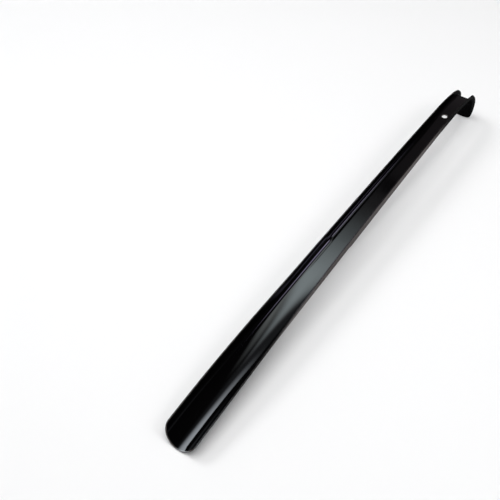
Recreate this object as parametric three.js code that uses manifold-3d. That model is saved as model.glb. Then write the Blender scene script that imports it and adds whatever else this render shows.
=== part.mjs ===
// Long steel shoehorn. It is one pressed strip of sheet steel with a gloss coat: a half-round
// scoop blade that slides behind the heel, a channel handle, a punched hanging hole and a
// turned-over hook at the top end.
//
// Frame: millimetres, +Z up. The horn lies hollow side up on the plane Z = 0, on the underside of
// its blade and the end of its hook. Its length runs along X, with the blade towards -X. It is
// mirrored about the plane Y = 0, and the origin is the middle of its box, on the plane it lies on.

import * as THREE from 'three';
import { mergeVertices } from 'three/addons/utils/BufferGeometryUtils.js';
import Module from 'manifold-3d';

const { smoothstep, lerp } = THREE.MathUtils;

const SHEET = 1.0;

// Side view: the strip follows arcs from the blade's tip to the end of the hook. Each span has its
// length and the angle that it turns through, in radians, and a negative turn bends downwards.
const TIP_SLOPE = 0.13846;
const LOWER_ARCH = { length: 285, turn: -0.0801 };
const UPPER_ARCH = { length: 241.5, turn: -0.0248 };
const HOOK_LEAD = { length: 55, turn: -0.231 };
const HOOK_CURL = { length: 18.8, turn: -1.334 };
const HOOK_END = { length: 22.3, turn: 0 };
const SPINE = [LOWER_ARCH, UPPER_ARCH, HOOK_LEAD, HOOK_CURL, HOOK_END];

const LEAD_START = LOWER_ARCH.length + UPPER_ARCH.length;
const CURL_START = LEAD_START + HOOK_LEAD.length;
const CURL_END = CURL_START + HOOK_CURL.length;
const CURL_MIDDLE = (CURL_START + CURL_END) / 2;
const STRIP_LENGTH = CURL_END + HOOK_END.length;

// Cross-section: the blade is round and the handle is a channel with a flat floor. One fades into
// the other between these two places, measured along the strip from the blade's tip.
const BLADE_RADIUS = 18.3;
const BLADE_FADES_FROM = 30;
const BLADE_GONE_BY = 258;

// The step at mid-length: past it the channel's corners are struck sharper. A sharper corner takes
// more of the sheet, so the half girth grows by this much there and the rims run on level.
const STEP_START = 274.5;
const STEP_LENGTH = 8;
const STEP_GIRTH = 0.9;
const CORNER_BEFORE_STEP = 4.4;
const CORNER_PAST_STEP = 2.4;
const CORNER_IN_HOOK = 2.2;

// Each list gives [place along the strip, value]. The values run straight from one to the next, and
// turn at each place over a short blend. The girth is measured around the bent sheet from its
// middle to its rim. The floor is measured from the middle to where floor and wall would meet in a
// sharp corner. The walls are lowest around the curl, where the sheet is stretched, and highest
// just past it.
const HALF_GIRTH = [
  [0, 24.6],
  [250, 24.8],
  [300, 23.2],
  [490, 19.0],
  [CURL_START - 6, 15.5],
  [CURL_MIDDLE, 12.5],
  [CURL_END + 3, 18.7],
  [STRIP_LENGTH, 14.9],
];
const HALF_FLOOR = [
  [0, 14.5],
  [250, 12.7],
  [490, 9.4],
  [CURL_START - 6, 9.5],
  [CURL_MIDDLE, 8.9],
  [STRIP_LENGTH, 9.4],
];
const WALL_ANGLE = [
  [0, 1.58],
  [CURL_START - 6, 1.51],
  [CURL_MIDDLE, 1.54],
  [STRIP_LENGTH, 1.5],
];
const BLEND_REACH = 4;
const BLEND_SAMPLES = 9;

// Both ends of the strip are trimmed to a rounded outline.
const BLADE_TIP = { length: 14.3, squareness: 1.75 };
const HOOK_TIP = { length: 11.4, squareness: 2.7 };

const HOLE_FROM_TIP = 527;
const HOLE_RADIUS = 3.0;
const HOLE_SIDES = 32;

// Mesh rows in each stretch of the strip, and mesh columns in each part of half a cross-section.
const BLADE_TIP_ROWS = 8;
const ARCH_ROWS = 40;
const LEAD_ROWS = 7;
const CURL_ROWS = 9;
const END_ROWS = 2;
const HOOK_TIP_ROWS = 6;
const FLOOR_COLUMNS = 3;
const CORNER_COLUMNS = 4;
const WALL_COLUMNS = 3;
const WIDEST_FLOOR_SHARE = 0.6;
const WIDEST_CORNER_SHARE = 0.8;

// Walks along a chain of arcs and gives the point and the heading at a distance from its start.
function walk(spans, startHeading, distance) {
  const place = { x: 0, y: 0, heading: startHeading };
  let left = distance;
  for (const { length, turn } of spans) {
    const stretch = Math.min(left, length);
    const bend = (turn * stretch) / length;
    const chord = bend === 0 ? stretch : (stretch * Math.sin(bend / 2)) / (bend / 2);
    place.x += chord * Math.cos(place.heading + bend / 2);
    place.y += chord * Math.sin(place.heading + bend / 2);
    place.heading += bend;
    left -= stretch;
  }
  return place;
}

function straightValueAt(stations, place) {
  const last = stations[stations.length - 1];
  const next = stations.findIndex(([station]) => station >= place);
  if (next === -1) return last[1];
  if (next === 0) return stations[0][1];
  const [start, from] = stations[next - 1];
  const [end, to] = stations[next];
  return lerp(from, to, (place - start) / (end - start));
}

function valueAt(stations, place) {
  let sum = 0;
  for (let k = 0; k < BLEND_SAMPLES; k += 1) {
    const offset = lerp(-BLEND_REACH, BLEND_REACH, k / (BLEND_SAMPLES - 1));
    sum += straightValueAt(stations, place + offset);
  }
  return sum / BLEND_SAMPLES;
}

function pastStep(along) {
  return smoothstep(along, STEP_START, STEP_START + STEP_LENGTH);
}

function halfGirth(along) {
  return valueAt(HALF_GIRTH, along) + STEP_GIRTH * pastStep(along);
}

// Half of the cross-section as three arcs, from the middle of the floor to past the rim.
function sectionArcs(along) {
  const channelCorner = lerp(CORNER_BEFORE_STEP, CORNER_PAST_STEP, pastStep(along));
  const corner = lerp(channelCorner, CORNER_IN_HOOK, smoothstep(along, LEAD_START, CURL_START));
  const wallAngle = valueAt(WALL_ANGLE, along);
  const roundness = 1 - smoothstep(along, BLADE_FADES_FROM, BLADE_GONE_BY);
  const floorBend = roundness / BLADE_RADIUS;
  const cornerBend = floorBend + (1 - roundness) / corner;
  const floorLength = valueAt(HALF_FLOOR, along) - corner * Math.tan(wallAngle / 2);
  const cornerLength = corner * wallAngle;
  const wallLength = halfGirth(along) - floorLength - cornerLength;
  return [
    { length: floorLength, turn: floorLength * floorBend },
    { length: cornerLength, turn: cornerLength * cornerBend },
    { length: wallLength, turn: wallLength * floorBend },
  ];
}

// A point of the strip: along it from the blade's tip, around its cross-section from the middle,
// and outwards through the sheet from the hollow side.
function sheetPoint(along, around, outwards) {
  const section = walk(sectionArcs(along), 0, Math.abs(around));
  const width = section.x + outwards * Math.sin(section.heading);
  const rise = section.y - outwards * Math.cos(section.heading);
  const spine = walk(SPINE, TIP_SLOPE, along);
  return new THREE.Vector3(
    spine.x - rise * Math.sin(spine.heading),
    Math.sign(around) * width,
    spine.y + rise * Math.cos(spine.heading),
  );
}

// The mesh columns, as shares of the girth from one rim (-1) to the other (+1). They follow the
// floor, the corner and the wall, so that each corner has columns of its own. Towards the end of
// the hook the wall runs out, and each of the three keeps a smallest share.
function columnShares(along) {
  const [floor, corner] = sectionArcs(along);
  const girth = halfGirth(along);
  const floorEnd = Math.min(floor.length, WIDEST_FLOOR_SHARE * girth);
  const cornerEnd = Math.min(floor.length + corner.length, WIDEST_CORNER_SHARE * girth);
  const marks = [0, floorEnd, cornerEnd, girth];
  const counts = [FLOOR_COLUMNS, CORNER_COLUMNS, WALL_COLUMNS];
  const half = counts.flatMap((count, part) =>
    Array.from({ length: count }, (_, k) => lerp(marks[part], marks[part + 1], (k + 1) / count)),
  );
  const shares = half.map((around) => around / girth);
  return [...shares.map((share) => -share).reverse(), 0, ...shares];
}

// Bends one mesh row of a straight-ended strip into a rounded end. At depth 0 the row lies on the
// end's edge, and at depth 1 it crosses the strip squarely where the rounding starts.
function roundedPlace(share, depth, { length, squareness }) {
  const towardsTip = 1 - depth;
  const x = towardsTip * Math.sqrt(1 - (share * share) / 2);
  const y = share * Math.sqrt(1 - (towardsTip * towardsTip) / 2);
  const bulge = (Math.abs(x) ** squareness + Math.abs(y) ** squareness) ** (1 / squareness);
  const scale = bulge === 0 ? 1 : Math.hypot(x, y) / bulge;
  return { fromTip: length * (1 - x * scale), share: y * scale };
}

function tipRows(count, { length, squareness }, alongAt) {
  return Array.from({ length: count }, (_, row) =>
    columnShares(alongAt(length)).map((share) => {
      const place = roundedPlace(share, row / count, { length, squareness });
      return { along: alongAt(place.fromTip), share: place.share };
    }),
  );
}

function straightRows(count, start, end) {
  return Array.from({ length: count }, (_, row) => {
    const along = lerp(start, end, row / count);
    return columnShares(along).map((share) => ({ along, share }));
  });
}

function allRows() {
  const roundingStart = STRIP_LENGTH - HOOK_TIP.length;
  return [
    ...tipRows(BLADE_TIP_ROWS, BLADE_TIP, (fromTip) => fromTip),
    ...straightRows(ARCH_ROWS, BLADE_TIP.length, LEAD_START),
    ...straightRows(LEAD_ROWS, LEAD_START, CURL_START),
    ...straightRows(CURL_ROWS, CURL_START, CURL_END),
    ...straightRows(END_ROWS, CURL_END, roundingStart),
    columnShares(roundingStart).map((share) => ({ along: roundingStart, share })),
    ...tipRows(HOOK_TIP_ROWS, HOOK_TIP, (fromTip) => STRIP_LENGTH - fromTip).reverse(),
  ];
}

// The grid places around the edge of the sheet, clockwise seen from the hollow side.
function edgeLoop(rowCount, columnCount) {
  const range = (count) => Array.from({ length: count }, (_, k) => k);
  const lastRow = rowCount - 1;
  const lastColumn = columnCount - 1;
  return [
    ...range(lastColumn).map((column) => [0, column]),
    ...range(lastRow).map((row) => [row, lastColumn]),
    ...range(lastColumn).map((column) => [lastRow, lastColumn - column]),
    ...range(lastRow).map((row) => [lastRow - row, 0]),
  ];
}

// The closed sheet: its hollow side, its back, and the thin edge that joins them all round.
function sheetGeometry() {
  const rows = allRows();
  const columnCount = rows[0].length;
  const pointsThrough = (outwards) =>
    rows.flatMap((row) =>
      row.map(({ along, share }) => sheetPoint(along, share * halfGirth(along), outwards)),
    );
  const points = [...pointsThrough(0), ...pointsThrough(SHEET)];
  const hollow = (row, column) => row * columnCount + column;
  const back = (row, column) => hollow(row, column) + rows.length * columnCount;
  const triangles = [];
  const quad = (a, b, c, d) => triangles.push(a, b, c, a, c, d);
  for (let row = 0; row < rows.length - 1; row += 1) {
    for (let column = 0; column < columnCount - 1; column += 1) {
      const corners = [[row, column], [row + 1, column], [row + 1, column + 1], [row, column + 1]];
      quad(...corners.map((corner) => hollow(...corner)));
      quad(...corners.map((corner) => back(...corner)).reverse());
    }
  }
  const loop = edgeLoop(rows.length, columnCount);
  loop.forEach((start, k) => {
    const end = loop[(k + 1) % loop.length];
    quad(hollow(...start), hollow(...end), back(...end), back(...start));
  });
  const geometry = new THREE.BufferGeometry().setFromPoints(points);
  geometry.setIndex(triangles);
  return geometry;
}

// The round punch that cuts the hanging hole, square to the floor of the channel.
function holePunch() {
  const reach = 10 * SHEET;
  const spine = walk(SPINE, TIP_SLOPE, HOLE_FROM_TIP);
  const punch = new THREE.CylinderGeometry(HOLE_RADIUS, HOLE_RADIUS, reach, HOLE_SIDES);
  punch.rotateX(Math.PI / 2);
  punch.rotateY(-spine.heading);
  punch.translate(spine.x, 0, spine.y);
  return punch;
}

const wasm = await Module();
wasm.setup();

function toSolid(geometry) {
  const bare = geometry.clone();
  bare.deleteAttribute('normal');
  bare.deleteAttribute('uv');
  const merged = mergeVertices(bare);
  return new wasm.Manifold(
    new wasm.Mesh({
      numProp: 3,
      vertProperties: new Float32Array(merged.attributes.position.array),
      triVerts: new Uint32Array(merged.index.array),
    }),
  );
}

function toGeometry(solid) {
  const { vertProperties, triVerts } = solid.getMesh();
  const geometry = new THREE.BufferGeometry();
  geometry.setAttribute('position', new THREE.BufferAttribute(vertProperties, 3));
  geometry.setIndex(new THREE.BufferAttribute(triVerts, 1));
  geometry.computeVertexNormals();
  return geometry;
}

function pressedSteelBody() {
  const strip = toSolid(sheetGeometry()).subtract(toSolid(holePunch()));
  const glossBlack = new THREE.MeshStandardMaterial({
    color: 0x0b0b0c,
    roughness: 0.16,
    metalness: 0,
  });
  const body = new THREE.Mesh(toGeometry(strip), glossBlack);
  body.name = 'pressed_steel_body';
  const box = new THREE.Box3().setFromObject(body);
  body.position.set(-(box.min.x + box.max.x) / 2, 0, -box.min.z);
  return body;
}

const shoehorn = new THREE.Group();
shoehorn.add(pressedSteelBody());

export default shoehorn;
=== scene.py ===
"""Looks of a long steel shoehorn with a gloss black coat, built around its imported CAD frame.

The frame is that of the CAD part: +X runs from the blade to the hook, +Z is up, and the shoehorn lies
hollow side up on the plane Z = 0. Lengths are in metres, except where a comment says millimetres. The
visible piece is the same pressed strip as the CAD node, with a fine mesh, a rounded edge all round the
sheet and a rounded edge at the punched hole.
"""

import math

import bmesh
import bpy
import numpy as np
from mathutils import Matrix, Vector
from mathutils.kdtree import KDTree


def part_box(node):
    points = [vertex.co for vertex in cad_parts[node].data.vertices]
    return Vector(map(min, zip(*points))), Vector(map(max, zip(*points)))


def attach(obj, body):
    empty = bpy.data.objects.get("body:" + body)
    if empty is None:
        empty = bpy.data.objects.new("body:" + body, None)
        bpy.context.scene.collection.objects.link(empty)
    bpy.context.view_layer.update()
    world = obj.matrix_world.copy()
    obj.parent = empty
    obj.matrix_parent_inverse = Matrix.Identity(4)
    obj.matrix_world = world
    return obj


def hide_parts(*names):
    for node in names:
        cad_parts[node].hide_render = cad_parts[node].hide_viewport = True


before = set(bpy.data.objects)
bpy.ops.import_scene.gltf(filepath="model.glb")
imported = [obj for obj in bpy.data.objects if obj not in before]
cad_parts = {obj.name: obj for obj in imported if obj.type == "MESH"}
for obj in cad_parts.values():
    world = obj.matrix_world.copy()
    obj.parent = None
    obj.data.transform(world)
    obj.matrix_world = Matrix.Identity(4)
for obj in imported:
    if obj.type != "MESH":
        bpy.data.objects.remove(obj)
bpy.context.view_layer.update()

CAD_NODE = "pressed_steel_body"
BODY_NAME = "coated_steel_strip"
EDGE_DISTANCE = "edge_distance"
MM = 0.001

# ---------------------------------------------------------------------------------------------------
# The strip, in millimetres, by the same arcs as the CAD part.
SHEET = 1.0

# Side view: arcs as (length, angle turned through in radians), from the blade's tip to the hook's end.
# A negative turn bends downwards.
TIP_SLOPE = 0.13846
LOWER_ARCH = (285, -0.0801)
UPPER_ARCH = (241.5, -0.0248)
HOOK_LEAD = (55, -0.231)
HOOK_CURL = (18.8, -1.334)
HOOK_END = (22.3, 0)
SPINE = [LOWER_ARCH, UPPER_ARCH, HOOK_LEAD, HOOK_CURL, HOOK_END]

LEAD_START = LOWER_ARCH[0] + UPPER_ARCH[0]
CURL_START = LEAD_START + HOOK_LEAD[0]
CURL_END = CURL_START + HOOK_CURL[0]
CURL_MIDDLE = (CURL_START + CURL_END) / 2
STRIP_LENGTH = CURL_END + HOOK_END[0]

# The blade is round, and fades into a channel with a flat floor between these two places.
BLADE_RADIUS = 18.3
BLADE_FADES_FROM = 30
BLADE_GONE_BY = 258

# The step at mid-length: past it the channel's corners are sharper, and the half girth grows so that
# the rims run on level.
STEP_START = 274.5
STEP_LENGTH = 8
STEP_GIRTH = 0.9
CORNER_BEFORE_STEP = 4.4
CORNER_PAST_STEP = 2.4
CORNER_IN_HOOK = 2.2

# Cross-section, as (place along the strip, value): the girth is measured around the bent sheet from
# its middle to its rim, the floor from its middle to where it would meet the wall's line, and the
# angle is how far the wall turns up, in radians.
HALF_GIRTH = [
    (0, 24.6),
    (250, 24.8),
    (300, 23.2),
    (490, 19.0),
    (CURL_START - 6, 15.5),
    (CURL_MIDDLE, 12.5),
    (CURL_END + 3, 18.7),
    (STRIP_LENGTH, 14.9),
]
HALF_FLOOR = [
    (0, 14.5),
    (250, 12.7),
    (490, 9.4),
    (CURL_START - 6, 9.5),
    (CURL_MIDDLE, 8.9),
    (STRIP_LENGTH, 9.4),
]
WALL_ANGLE = [(0, 1.58), (CURL_START - 6, 1.51), (CURL_MIDDLE, 1.54), (STRIP_LENGTH, 1.5)]

# Values run straight from one place to the next, and are blended over this reach to either side.
BLEND_REACH = 4
BLEND_SAMPLES = 9

# Both ends are trimmed to a rounded outline, given as its length and its squareness.
BLADE_TIP = (14.3, 1.75)
HOOK_TIP = (11.4, 2.7)

HOLE_FROM_TIP = 527
HOLE_RADIUS = 3.0

# ---------------------------------------------------------------------------------------------------
# The fine mesh, in millimetres where it is a length.
EDGE_RADIUS = SHEET / 2
EDGE_SEGMENTS = 6

# The grid leaves out a square block round the hole, this far from its middle, and rings fill it.
HOLE_BLOCK = 6.6
HOLE_RINGS = 5
BLOCK_COLUMNS = 8

FLOOR_COLUMNS = 5
CORNER_COLUMNS = 9
WALL_COLUMNS = 10
TIP_ROWS = 24
HOOK_TIP_ROWS = 16
ROW_SPACING = 1.65
CURL_ROW_SPACING = 0.8

# At the most, the block, the floor and the corner end at these shares of the girth.
WIDEST_SHARES = (0.45, 0.65, 0.82)

# Keeps a rounded end's grid from dividing by nothing.
SMALLEST_BULGE = 1e-9


def smoothstep(value, low, high):
    share = np.clip((value - low) / (high - low), 0, 1)
    return share * share * (3 - 2 * share)


def lerp(a, b, share):
    return a + (b - a) * share


def value_at(stations, place):
    """Straight from one (place, value) to the next, with each turn blended over a short reach."""
    places, values = zip(*stations)
    offsets = np.linspace(-BLEND_REACH, BLEND_REACH, BLEND_SAMPLES)
    return np.mean([np.interp(place + offset, places, values) for offset in offsets], axis=0)


def walk(spans, heading, distance):
    """Follows a chain of (length, turn) arcs, given as arrays or numbers, and returns x, y and heading."""
    x = np.zeros_like(distance)
    y = np.zeros_like(distance)
    heading = np.full_like(distance, heading)
    left = distance.copy()
    for length, turn in spans:
        stretch = np.minimum(left, length)
        bend = turn * stretch / length
        chord = stretch * np.sinc(bend / (2 * np.pi))
        x += chord * np.cos(heading + bend / 2)
        y += chord * np.sin(heading + bend / 2)
        heading += bend
        left -= stretch
    return x, y, heading


def past_step(along):
    return smoothstep(along, STEP_START, STEP_START + STEP_LENGTH)


def half_girth(along):
    return value_at(HALF_GIRTH, along) + STEP_GIRTH * past_step(along)


def section_arcs(along):
    """The floor, corner and wall of half a section, as (length, angle turned through)."""
    channel_corner = lerp(CORNER_BEFORE_STEP, CORNER_PAST_STEP, past_step(along))
    corner = lerp(channel_corner, CORNER_IN_HOOK, smoothstep(along, LEAD_START, CURL_START))
    wall_angle = value_at(WALL_ANGLE, along)
    roundness = 1 - smoothstep(along, BLADE_FADES_FROM, BLADE_GONE_BY)
    floor_bend = roundness / BLADE_RADIUS
    corner_bend = floor_bend + (1 - roundness) / corner
    floor_length = value_at(HALF_FLOOR, along) - corner * np.tan(wall_angle / 2)
    corner_length = corner * wall_angle
    wall_length = np.full_like(along, STRIP_LENGTH)
    return [
        (floor_length, floor_length * floor_bend),
        (corner_length, corner_length * corner_bend),
        (wall_length, wall_length * floor_bend),
    ]


def sheet_points(along, around, outwards):
    """Points of the strip, as an array with x, y and z in the last axis."""
    across, up, lean = walk(section_arcs(along), 0, np.abs(around))
    width = across + outwards * np.sin(lean)
    rise = up - outwards * np.cos(lean)
    spine_x, spine_z, slope = walk(SPINE, TIP_SLOPE, along)
    x = spine_x - rise * np.sin(slope)
    z = spine_z + rise * np.cos(slope)
    return np.stack([x, np.sign(around) * width, z], axis=-1)


# ---------------------------------------------------------------------------------------------------
# The fine grid: each row holds (along, around) pairs, from one rim to the other.
def row_marks(along, girth):
    """Half of a row: places around the section where the hole's block, floor, corner and wall end."""
    (floor, _), (corner, _), _ = section_arcs(np.array(float(along)))
    marks = [HOLE_BLOCK, float(floor), float(floor + corner)]
    limits = [share * girth for share in WIDEST_SHARES]
    return [0.0] + [min(mark, limit) for mark, limit in zip(marks, limits)] + [girth]


def row_shares(along, girth):
    marks = row_marks(along, girth)
    counts = [BLOCK_COLUMNS, FLOOR_COLUMNS, CORNER_COLUMNS, WALL_COLUMNS]
    half = [np.linspace(a, b, count + 1)[1:] for a, b, count in zip(marks, marks[1:], counts)]
    half = np.concatenate(half) / girth
    return np.concatenate([-half[::-1], [0.0], half])


def inset_girth(along):
    return half_girth(np.asarray(along, float)) - EDGE_RADIUS


def tip_rows(count, tip, along_at):
    """Rows bent into a rounded end, from the end's edge inwards: a square made round, then squarer."""
    length, squareness = tip[0] - EDGE_RADIUS, tip[1]
    along = along_at(length)
    shares = row_shares(along, float(inset_girth(along)))
    rows = []
    for depth in np.arange(count) / count:
        towards_tip = 1 - depth
        x = towards_tip * np.sqrt(1 - shares**2 / 2)
        y = shares * np.sqrt(1 - towards_tip**2 / 2)
        bulge = (np.abs(x) ** squareness + np.abs(y) ** squareness) ** (1 / squareness)
        scale = np.hypot(x, y) / np.maximum(bulge, SMALLEST_BULGE)
        place = np.vectorize(along_at)(length * (1 - x * scale))
        rows.append((place, y * scale * inset_girth(place)))
    return rows


def straight_rows(places):
    rows = []
    for along in places:
        girth = float(inset_girth(along))
        shares = row_shares(along, girth)
        rows.append((np.full_like(shares, along), shares * girth))
    return rows


def stretch(start, end, spacing):
    """Evenly spaced places from start up to, but not including, end."""
    count = max(1, math.ceil((end - start) / spacing))
    return list(np.linspace(start, end, count + 1)[:-1])


def grid_rows():
    block_start = HOLE_FROM_TIP - HOLE_BLOCK
    block_end = HOLE_FROM_TIP + HOLE_BLOCK
    round_start = STRIP_LENGTH - HOOK_TIP[0]
    block = list(np.linspace(block_start, block_end, 2 * BLOCK_COLUMNS + 1)[:-1])
    before = stretch(BLADE_TIP[0], block_start, ROW_SPACING)
    lead = stretch(block_end, CURL_START, ROW_SPACING)
    curl = stretch(CURL_START, round_start, CURL_ROW_SPACING)
    places = before + block + lead + curl + [round_start]
    rows = tip_rows(TIP_ROWS, BLADE_TIP, lambda inwards: EDGE_RADIUS + inwards)
    rows += straight_rows(places)
    rows += tip_rows(HOOK_TIP_ROWS, HOOK_TIP, lambda inwards: STRIP_LENGTH - EDGE_RADIUS - inwards)[::-1]
    first_block_row = TIP_ROWS + len(before)
    return rows, first_block_row


# ---------------------------------------------------------------------------------------------------
# The mesh: the hollow side and the back of the sheet, a patch round the hole, and rounded edges.
def hole_patch(first_row, middle_column):
    """Rings from the block of the grid round the hole in to the hole, as (along, around) loops."""
    n = BLOCK_COLUMNS
    square = [(-n, k) for k in range(-n, n)]
    square += [(k, n) for k in range(-n, n)]
    square += [(n, -k) for k in range(-n, n)]
    square += [(-k, -n) for k in range(-n, n)]
    edge_cells = [(first_row + n + row, middle_column + column) for row, column in square]
    outer = np.array(square, float) * HOLE_BLOCK / n
    angles = np.arctan2(outer[:, 1], outer[:, 0])
    inner = (HOLE_RADIUS + EDGE_RADIUS) * np.stack([np.cos(angles), np.sin(angles)], axis=1)
    rings = [lerp(outer, inner, (k + 1) / HOLE_RINGS) for k in range(HOLE_RINGS)]
    return edge_cells, rings


def edge_cells_of(row_count, column_count):
    """The grid's places around the edge of the sheet, in order, seen from the hollow side."""
    last_row, last_column = row_count - 1, column_count - 1
    cells = [(0, column) for column in range(last_column)]
    cells += [(row, last_column) for row in range(last_row)]
    cells += [(last_row, last_column - column) for column in range(last_column)]
    cells += [(last_row - row, 0) for row in range(last_row)]
    return cells


class SheetMesh:
    """Collects points as (along, around) places and the quads between them, for both sides of the sheet."""

    def __init__(self):
        self.places = []
        self.quads = []

    def add_places(self, places):
        start = len(self.places)
        self.places.extend(places)
        return list(range(start, len(self.places)))

    def add_band(self, loop, next_loop):
        """Quads between two closed loops of the same length."""
        for k in range(len(loop)):
            after = (k + 1) % len(loop)
            self.quads.append((loop[k], loop[after], next_loop[after], next_loop[k]))


def middle_sheet():
    """The middle layer of the sheet with its hole, and its two edge loops."""
    rows, first_block_row = grid_rows()
    row_count, column_count = len(rows), len(rows[0][0])
    middle_column = column_count // 2
    sheet = SheetMesh()
    ids = [sheet.add_places(list(zip(along, around))) for along, around in rows]
    block_rows = range(first_block_row, first_block_row + 2 * BLOCK_COLUMNS)
    block_columns = range(middle_column - BLOCK_COLUMNS, middle_column + BLOCK_COLUMNS)
    for row in range(row_count - 1):
        for column in range(column_count - 1):
            if row in block_rows and column in block_columns:
                continue
            quad = (ids[row][column], ids[row + 1][column], ids[row + 1][column + 1], ids[row][column + 1])
            sheet.quads.append(quad)
    cells, rings = hole_patch(first_block_row, middle_column)
    loop = [ids[row][column] for row, column in cells]
    for ring in rings:
        next_loop = sheet.add_places([(HOLE_FROM_TIP + along, around) for along, around in ring])
        sheet.add_band(loop, next_loop)
        loop = next_loop
    outline = [ids[row][column] for row, column in edge_cells_of(row_count, column_count)]
    return sheet, outline, loop


def edge_rings(loop_points, loop_backs, away_from_middle):
    """Rings of points that round the sheet's edge, from its hollow side to its back."""
    middle = (loop_points + loop_backs) / 2
    normal = (loop_points - loop_backs) / SHEET
    tangent = np.roll(middle, -1, axis=0) - np.roll(middle, 1, axis=0)
    outwards = np.cross(tangent, normal)
    outwards /= np.linalg.norm(outwards, axis=1)[:, None]
    faces_away = np.sum(outwards * (middle - middle.mean(axis=0))) > 0
    if faces_away != away_from_middle:
        outwards = -outwards
    turns = np.arange(1, EDGE_SEGMENTS) * np.pi / EDGE_SEGMENTS
    return [middle + EDGE_RADIUS * (np.cos(turn) * normal + np.sin(turn) * outwards) for turn in turns]


def solid_sheet():
    """The points of the closed strip, in millimetres, its faces, and the indices of the points along its
    edges.
    """
    sheet, outline, hole = middle_sheet()
    along, around = np.array(sheet.places, float).T
    hollow = sheet_points(along, around, 0.0)
    back = sheet_points(along, around, SHEET)
    count = len(hollow)
    points = [hollow, back]
    faces = list(sheet.quads)
    faces += [tuple(corner + count for corner in reversed(quad)) for quad in sheet.quads]
    start = 2 * count
    for loop, away in ((outline, True), (hole, False)):
        rings = edge_rings(hollow[loop], back[loop], away)
        loops = [loop]
        for ring in rings:
            loops.append(list(range(start, start + len(ring))))
            points.append(ring)
            start += len(ring)
        loops.append([corner + count for corner in loop])
        for here, there in zip(loops, loops[1:]):
            for k in range(len(here)):
                after = (k + 1) % len(here)
                faces.append((here[k], there[k], there[after], here[after]))
    return np.concatenate(points), faces, outline + hole


def edge_distance(points, edge_ids):
    """Distance of each point from the nearest edge of the sheet."""
    tree = KDTree(len(edge_ids))
    for place, index in enumerate(edge_ids):
        tree.insert(points[index], place)
    tree.balance()
    return [tree.find(point)[2] for point in points]


def make_body():
    points, faces, edge_ids = solid_sheet()
    low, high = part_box(CAD_NODE)
    middle_x = (points[:, 0].min() + points[:, 0].max()) / 2
    place = np.array([(low.x + high.x) / 2 - middle_x * MM, 0, low.z - points[:, 2].min() * MM])
    mesh = bpy.data.meshes.new(BODY_NAME)
    mesh.from_pydata((points * MM + place).tolist(), [], faces)
    distance = mesh.attributes.new(EDGE_DISTANCE, "FLOAT", "POINT")
    distance.data.foreach_set("value", edge_distance(points, edge_ids))
    shell = bmesh.new()
    shell.from_mesh(mesh)
    bmesh.ops.recalc_face_normals(shell, faces=shell.faces)
    shell.to_mesh(mesh)
    shell.free()
    mesh.polygons.foreach_set("use_smooth", [True] * len(mesh.polygons))
    body = bpy.data.objects.new(BODY_NAME, mesh)
    bpy.context.scene.collection.objects.link(body)
    mesh.materials.append(gloss_black_coat())
    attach(body, "root")
    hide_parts(CAD_NODE)


# ---------------------------------------------------------------------------------------------------
# Materials. Each noise is (scale, detail, roughness), on the piece's own coordinates in metres.
# Each bump is (height in metres, strength). Each range is the part of a noise's values that counts.
COAT_IOR = 1.4
COAT_NOISE = (18, 3, 0.5)
COAT_TINTS = ((0.0005, 0.00045, 0.0005), (0.0015, 0.0013, 0.0015))

# Edge colour, partly wear of the coat and partly a painted highlight along the rim: it is full within
# the first of these distances from an edge and gone past the second, in millimetres. Its noise varies
# how much of the light edge colour shows, between the two shares.
WORN_AND_HIGHLIGHT_COLOUR = (0.26, 0.235, 0.22)
WEAR_AND_HIGHLIGHT_REACH = (0.1, 0.75)
WEAR_AND_HIGHLIGHT_NOISE = (260, 4, 0.65)
WEAR_AND_HIGHLIGHT_RANGE = (0.4, 0.7)
WEAR_AND_HIGHLIGHT_SHARES = (0.2, 0.6)

# The coat's roughness is the sum of two parts. The marks are drawn out along the strip.
MARKS_STRETCH = (0.12, 1, 1)
MARKS_NOISE = (900, 3, 0.6)
MARKS_RANGE = (0.3, 0.75)
MARKS_ROUGHNESS = (0.0, 0.02)
SMUDGES_NOISE = (30, 4, 0.6)
SMUDGES_RANGE = (0.3, 0.7)
SMUDGES_ROUGHNESS = (0.05, 0.085)

PEEL_NOISE = (700, 2, 0.45)
PEEL_BUMP = (0.00002, 0.12)
WAVES_NOISE = (45, 1, 0.3)
WAVES_BUMP = (0.0004, 0.06)

FLOOR_NOISE = (3, 2, 0.5)
FLOOR_TINTS = ((0.86, 0.86, 0.865), (0.88, 0.88, 0.882))
FLOOR_ROUGHNESS = 0.75
FLOOR_SPECULAR = 0.15

# The floor as the coat mirrors it, seen by reflections only: dimmed by painted shade, and painted
# dark beyond the hook. It turns from one into the other between these places along X.
PAINTED_SHADE_FLOOR_REFLECTION = (0.42, 0.38, 0.37)
PAINTED_DARK_FLOOR_REFLECTION = (0.03, 0.03, 0.03)
PAINTED_DARK_REFLECTION_REACH = (0.2, 0.27)


def new_material(name):
    material = bpy.data.materials.new(name)
    material.use_nodes = True
    nodes = material.node_tree.nodes
    return material, nodes, material.node_tree.links, nodes["Principled BSDF"]


def noise(nodes, links, vector, scale, detail, roughness):
    texture = nodes.new("ShaderNodeTexNoise")
    texture.inputs["Scale"].default_value = scale
    texture.inputs["Detail"].default_value = detail
    texture.inputs["Roughness"].default_value = roughness
    links.new(vector, texture.inputs["Vector"])
    return texture.outputs["Fac"]


def remap(nodes, links, value, source, target, interpolation="LINEAR"):
    node = nodes.new("ShaderNodeMapRange")
    node.interpolation_type = interpolation
    for name, number in zip(("From Min", "From Max", "To Min", "To Max"), (*source, *target)):
        node.inputs[name].default_value = number
    links.new(value, node.inputs["Value"])
    return node.outputs["Result"]


def combine(nodes, links, operation, first, second):
    node = nodes.new("ShaderNodeMath")
    node.operation = operation
    links.new(first, node.inputs[0])
    links.new(second, node.inputs[1])
    return node.outputs[0]


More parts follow.
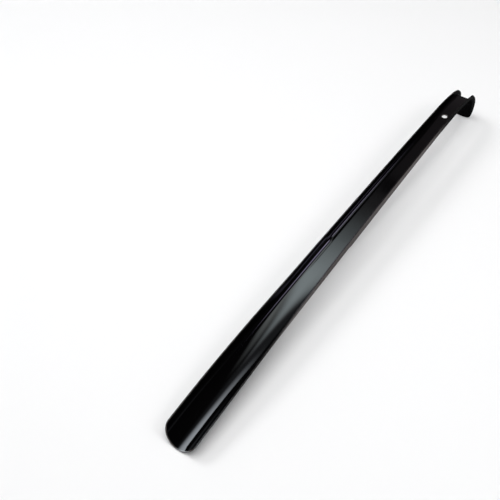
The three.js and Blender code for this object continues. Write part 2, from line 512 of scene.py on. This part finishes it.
def mix_colour(nodes, links, share, first, second):
    node = nodes.new("ShaderNodeMix")
    node.data_type = "RGBA"
    links.new(share, node.inputs["Factor"])
    for socket, colour in ((node.inputs["A"], first), (node.inputs["B"], second)):
        if isinstance(colour, tuple):
            socket.default_value = (*colour, 1)
        else:
            links.new(colour, socket)
    return node.outputs["Result"]


def bump(nodes, links, height, distance, strength, below=None):
    node = nodes.new("ShaderNodeBump")
    node.inputs["Distance"].default_value = distance
    node.inputs["Strength"].default_value = strength
    links.new(height, node.inputs["Height"])
    if below is not None:
        links.new(below, node.inputs["Normal"])
    return node.outputs["Normal"]


def coat_colour(nodes, links, coordinates):
    """Black with faint clouds, and a light brown grey along the edges of the sheet: partly wear, partly a
    painted highlight on the rim.
    """
    clouds = noise(nodes, links, coordinates, *COAT_NOISE)
    coat = mix_colour(nodes, links, clouds, *COAT_TINTS)
    edge = nodes.new("ShaderNodeAttribute")
    edge.attribute_name = EDGE_DISTANCE
    near_edge = remap(nodes, links, edge.outputs["Fac"], WEAR_AND_HIGHLIGHT_REACH, (1, 0))
    wear_and_highlight_noise = noise(nodes, links, coordinates, *WEAR_AND_HIGHLIGHT_NOISE)
    patchy = remap(nodes, links, wear_and_highlight_noise, WEAR_AND_HIGHLIGHT_RANGE, WEAR_AND_HIGHLIGHT_SHARES)
    # Light edge colour: partly wear of the coat, partly a painted highlight along the rim.
    wear_and_highlight = combine(nodes, links, "MULTIPLY", near_edge, patchy)
    return mix_colour(nodes, links, wear_and_highlight, coat, WORN_AND_HIGHLIGHT_COLOUR)


def coat_roughness(nodes, links, coordinates):
    lengthways = nodes.new("ShaderNodeMapping")
    lengthways.inputs["Scale"].default_value = MARKS_STRETCH
    links.new(coordinates, lengthways.inputs["Vector"])
    marks = noise(nodes, links, lengthways.outputs["Vector"], *MARKS_NOISE)
    smudges = noise(nodes, links, coordinates, *SMUDGES_NOISE)
    marked = remap(nodes, links, marks, MARKS_RANGE, MARKS_ROUGHNESS)
    smudged = remap(nodes, links, smudges, SMUDGES_RANGE, SMUDGES_ROUGHNESS)
    return combine(nodes, links, "ADD", marked, smudged)


def coat_normal(nodes, links, coordinates):
    """Orange peel over slow waves."""
    peel = noise(nodes, links, coordinates, *PEEL_NOISE)
    waves = noise(nodes, links, coordinates, *WAVES_NOISE)
    wavy = bump(nodes, links, waves, *WAVES_BUMP)
    return bump(nodes, links, peel, *PEEL_BUMP, below=wavy)


def gloss_black_coat():
    """Smooth black enamel on pressed steel: faint orange peel, fine marks, and thinner at the edges, where
    a painted highlight is added to the wear.
    """
    material, nodes, links, shader = new_material("gloss_black_coat")
    coordinates = nodes.new("ShaderNodeTexCoord").outputs["Object"]
    links.new(coat_colour(nodes, links, coordinates), shader.inputs["Base Color"])
    links.new(coat_roughness(nodes, links, coordinates), shader.inputs["Roughness"])
    links.new(coat_normal(nodes, links, coordinates), shader.inputs["Normal"])
    shader.inputs["IOR"].default_value = COAT_IOR
    return material


def pale_floor():
    material, nodes, links, shader = new_material("pale_floor")
    coordinates = nodes.new("ShaderNodeTexCoord").outputs["Object"]
    clouds = noise(nodes, links, coordinates, *FLOOR_NOISE)
    colour = mix_colour(nodes, links, clouds, *FLOOR_TINTS)
    place = nodes.new("ShaderNodeSeparateXYZ")
    links.new(coordinates, place.inputs[0])
    beyond_hook = remap(nodes, links, place.outputs["X"], PAINTED_DARK_REFLECTION_REACH, (0, 1))
    painted_floor_reflection = mix_colour(nodes, links, beyond_hook, PAINTED_SHADE_FLOOR_REFLECTION, PAINTED_DARK_FLOOR_REFLECTION)
    # Reflections see the floor's painted shade; the camera and diffuse light see the pale floor.
    glossy = nodes.new("ShaderNodeLightPath").outputs["Is Glossy Ray"]
    links.new(mix_colour(nodes, links, glossy, colour, painted_floor_reflection), shader.inputs["Base Color"])
    shader.inputs["Roughness"].default_value = FLOOR_ROUGHNESS
    shader.inputs["Specular IOR Level"].default_value = FLOOR_SPECULAR
    return material


# ---------------------------------------------------------------------------------------------------
# The stage, the light and the camera.
FLOOR_SIZE = 6.0
FLOOR_DROP = 0.0002

FOCAL_LENGTH_MM = 55.29
SENSOR_MM = 36.0
CAMERA_CLIP_START = 0.01
CAMERA_PLACE = Vector((-0.53176, -0.25471, 0.62356))
CAMERA_FORWARD = Vector((0.54837, 0.40283, -0.73282))
CAMERA_ROLL = 0.0177

# Each softbox: its name, place, width, height and power in watts.
SOFTBOXES = [
    ("overhead_softbox", (-0.1, 0.0, 1.6), 1.3, 1.3, 17.5),
    ("left_softbox", (0.1, 1.3, 1.4), 1.0, 0.6, 9.5),
    ("right_softbox", (0.25, -1.3, 1.4), 1.0, 0.6, 6.5),
]

# The even light of the room, which the coat does not mirror.
ROOM_LIGHT = (0.29, 0.29, 0.29)

# What the coat mirrors. Each soft patch, with its angles in degrees: azimuth and elevation of its middle,
# the angles from there at which it starts to fade and is gone, and its colour, which may be brighter
# than white.
STUDIO_PATCHES = [
    (120, 28, 33, 48, (7.6, 8.2, 8.9)),
    (35.5, 58, 0, 11, (5.1, 5.9, 6.1)),
    (4, 62, 0, 16, (3.8, 4.1, 4.1)),
    (-49.5, 35, 0, 11.5, (11.5, 10.6, 15.0)),
    (70, 52, 8.5, 32, (0.22, 0.24, 0.26)),
    (17, 28, 18.7, 19.3, (0.125, 0.11, 0.12)),
    (36, 57, 11.2, 11.6, (0.2, 0.19, 0.2)),
]
STUDIO_DARK = (0.004, 0.004, 0.005)
BLACK = (0.0, 0.0, 0.0)


def make_floor():
    half = FLOOR_SIZE / 2
    corners = [(-half, -half), (half, -half), (half, half), (-half, half)]
    mesh = bpy.data.meshes.new("floor")
    mesh.from_pydata([(x, y, -FLOOR_DROP) for x, y in corners], [], [(0, 1, 2, 3)])
    floor = bpy.data.objects.new("floor", mesh)
    bpy.context.scene.collection.objects.link(floor)
    mesh.materials.append(pale_floor())


def make_camera():
    camera = bpy.data.objects.new("camera", bpy.data.cameras.new("camera"))
    camera.data.lens = FOCAL_LENGTH_MM
    camera.data.sensor_width = SENSOR_MM
    camera.data.dof.use_dof = False
    camera.data.clip_start = CAMERA_CLIP_START
    level = CAMERA_FORWARD.to_track_quat("-Z", "Y").to_matrix().to_4x4()
    roll = Matrix.Rotation(-CAMERA_ROLL, 4, "Z")
    camera.matrix_world = Matrix.Translation(CAMERA_PLACE) @ level @ roll
    bpy.context.scene.collection.objects.link(camera)
    bpy.context.scene.camera = camera


def make_softbox(name, place, width, height, power):
    """A soft light aimed at the origin. The coat mirrors the studio of make_world, so not the softbox."""
    light = bpy.data.lights.new(name, "AREA")
    light.shape = "RECTANGLE"
    light.size = width
    light.size_y = height
    light.energy = power
    place = Vector(place)
    box = bpy.data.objects.new(name, light)
    box.matrix_world = Matrix.Translation(place) @ (-place).to_track_quat("-Z", "Y").to_matrix().to_4x4()
    box.visible_glossy = False
    bpy.context.scene.collection.objects.link(box)


def compass(azimuth, elevation):
    """Unit vector for angles in degrees: azimuth from +X towards +Y, elevation from level."""
    azimuth, elevation = math.radians(azimuth), math.radians(elevation)
    level = math.cos(elevation)
    return Vector((level * math.cos(azimuth), level * math.sin(azimuth), math.sin(elevation)))


def soft_patch(nodes, links, direction, patch):
    """A round patch of the sky that fades softly into the dark, as a colour."""
    azimuth, elevation, fades_from, gone_by, colour = patch
    facing = nodes.new("ShaderNodeVectorMath")
    facing.operation = "DOT_PRODUCT"
    links.new(direction, facing.inputs[0])
    facing.inputs[1].default_value = compass(azimuth, elevation)
    angle = nodes.new("ShaderNodeMath")
    angle.operation = "ARCCOSINE"
    links.new(facing.outputs["Value"], angle.inputs[0])
    limits = (math.radians(fades_from), math.radians(gone_by))
    fade = remap(nodes, links, angle.outputs[0], limits, (1, 0), "SMOOTHSTEP")
    return mix_colour(nodes, links, fade, BLACK, colour)


def add_colours(nodes, links, first, second):
    node = nodes.new("ShaderNodeVectorMath")
    node.operation = "ADD"
    links.new(first, node.inputs[0])
    if isinstance(second, tuple):
        node.inputs[1].default_value = second
    else:
        links.new(second, node.inputs[1])
    return node.outputs["Vector"]


def make_world():
    """A pale room that lights evenly, seen by the coat's reflections as a dark studio with soft patches."""
    world = bpy.data.worlds.new("studio")
    world.use_nodes = True
    nodes, links = world.node_tree.nodes, world.node_tree.links
    direction = nodes.new("ShaderNodeTexCoord").outputs["Generated"]
    studio = STUDIO_DARK
    for patch in STUDIO_PATCHES:
        studio = add_colours(nodes, links, soft_patch(nodes, links, direction, patch), studio)
    glossy = nodes.new("ShaderNodeLightPath").outputs["Is Glossy Ray"]
    room = mix_colour(nodes, links, glossy, ROOM_LIGHT, studio)
    links.new(room, nodes["Background"].inputs["Color"])
    bpy.context.scene.world = world


def make_studio():
    make_floor()
    make_world()
    for softbox in SOFTBOXES:
        make_softbox(*softbox)
    bpy.context.scene.view_settings.view_transform = "Standard"


make_camera()
make_body()
make_studio()
